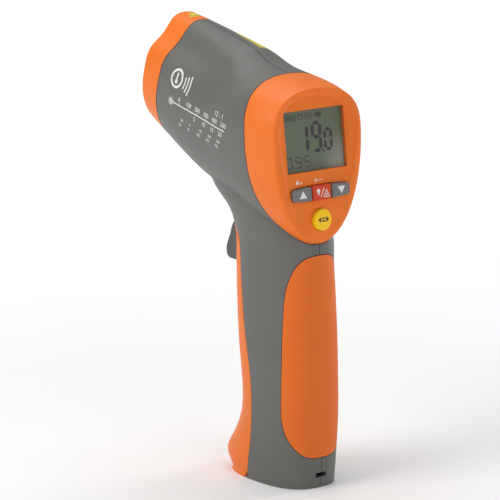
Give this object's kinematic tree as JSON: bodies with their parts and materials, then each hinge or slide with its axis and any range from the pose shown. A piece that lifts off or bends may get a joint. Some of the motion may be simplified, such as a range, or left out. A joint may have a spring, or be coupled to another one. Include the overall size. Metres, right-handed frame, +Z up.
{
  "type": "infrared thermometer",
  "caption": "Handheld pistol-grip infrared thermometer with backlit display, key row, finger trigger, laser pointer, hinged battery door and inlaid soft grip",
  "frame": {"origin": "In the flat foot of the handle, on the centre plane, below the battery", "axes": "+Z up along the handle, +Y the way the instrument aims, +X to the user's right"},
  "size_m": [0.058, 0.113, 0.2137],
  "materials": {
    "grey_shell": "satin moulded",
    "orange_shell": "satin moulded",
    "orange_grip": "soft matt",
    "grey_trigger": "fine textured",
    "grey_key": "fine textured",
    "red_key": "fine textured",
    "yellow_key": "semi-gloss",
    "yellow_socket": "satin moulded",
    "white_plastic": "milky",
    "black_plastic": "satin moulded",
    "dark_rubber": "matt",
    "clear_window": "clear, slightly smoked",
    "display_glass": "grey-green reflective",
    "lens": "translucent milky",
    "circuit_board": "green solder mask",
    "battery_case": "wrapped can",
    "steel": "zinc plated",
    "aluminium": "turned",
    "brass": "turned"
  },
  "bodies": {
    "housing": {"battery_9v": "battery_case", "battery_lead_minus": "black_plastic", "battery_lead_plus": "red_key", "battery_snap": "black_plastic", "board_screws": "steel", "buzzer": "black_plastic", "display_bezel": "orange_shell", "door_pin": "steel", "key_switches": "black_plastic", "keypad_sheet": "dark_rubber", "laser_module": "brass", "laser_window": "clear_window", "lcd_backlight": "white_plastic", "lcd_panel": "display_glass", "lcd_window": "clear_window", "left_shell": "grey_shell", "lens_ring": "aluminium", "main_board": "circuit_board", "microcontroller": "black_plastic", "nose_bezel": "orange_shell", "probe_socket": "yellow_socket", "rear_grip": "orange_grip", "right_shell": "grey_shell", "sensor_barrel": "black_plastic", "sensor_board": "circuit_board", "sensor_lens": "lens", "shell_screws": "steel", "socket_contacts": "brass", "thermopile": "steel", "trigger_pin": "steel", "trigger_spring": "steel", "trigger_switch": "black_plastic"},
    "trigger": {"trigger": "grey_trigger"},
    "battery_door": {"battery_door": "orange_shell"},
    "up_button": {"up_button": "grey_key"},
    "down_button": {"down_button": "grey_key"},
    "laser_button": {"laser_button": "red_key"},
    "mode_button": {"mode_button": "yellow_key"}
  },
  "joints": [
    {"name": "trigger_pull", "type": "hinge", "parent": "housing", "child": "trigger", "pos_m": [0, 0.033, 0.1345], "axis": [-1, 0, 0], "range_deg": [0, 9], "stiffness_Nm_per_rad": 0.35, "springref_deg": -20.05},
    {"name": "battery_door_swing", "type": "hinge", "parent": "housing", "child": "battery_door", "pos_m": [0, 0.0164, 0.0029], "axis": [-1, 0, 0], "range_deg": [0, 75]},
    {"name": "up_button_press", "type": "slide", "parent": "housing", "child": "up_button", "axis": [0, 0.9925, -0.1219], "range_m": [0, 0.0008], "stiffness_N_per_m": 900, "springref_m": -0.0006},
    {"name": "down_button_press", "type": "slide", "parent": "housing", "child": "down_button", "axis": [0, 0.9925, -0.1219], "range_m": [0, 0.0008], "stiffness_N_per_m": 900, "springref_m": -0.0006},
    {"name": "laser_button_press", "type": "slide", "parent": "housing", "child": "laser_button", "axis": [0, 0.9925, -0.1219], "range_m": [0, 0.0008], "stiffness_N_per_m": 900, "springref_m": -0.0006},
    {"name": "mode_button_press", "type": "slide", "parent": "housing", "child": "mode_button", "axis": [0, 0.9925, -0.1219], "range_m": [0, 0.0008], "stiffness_N_per_m": 900, "springref_m": -0.0006}
  ]
}
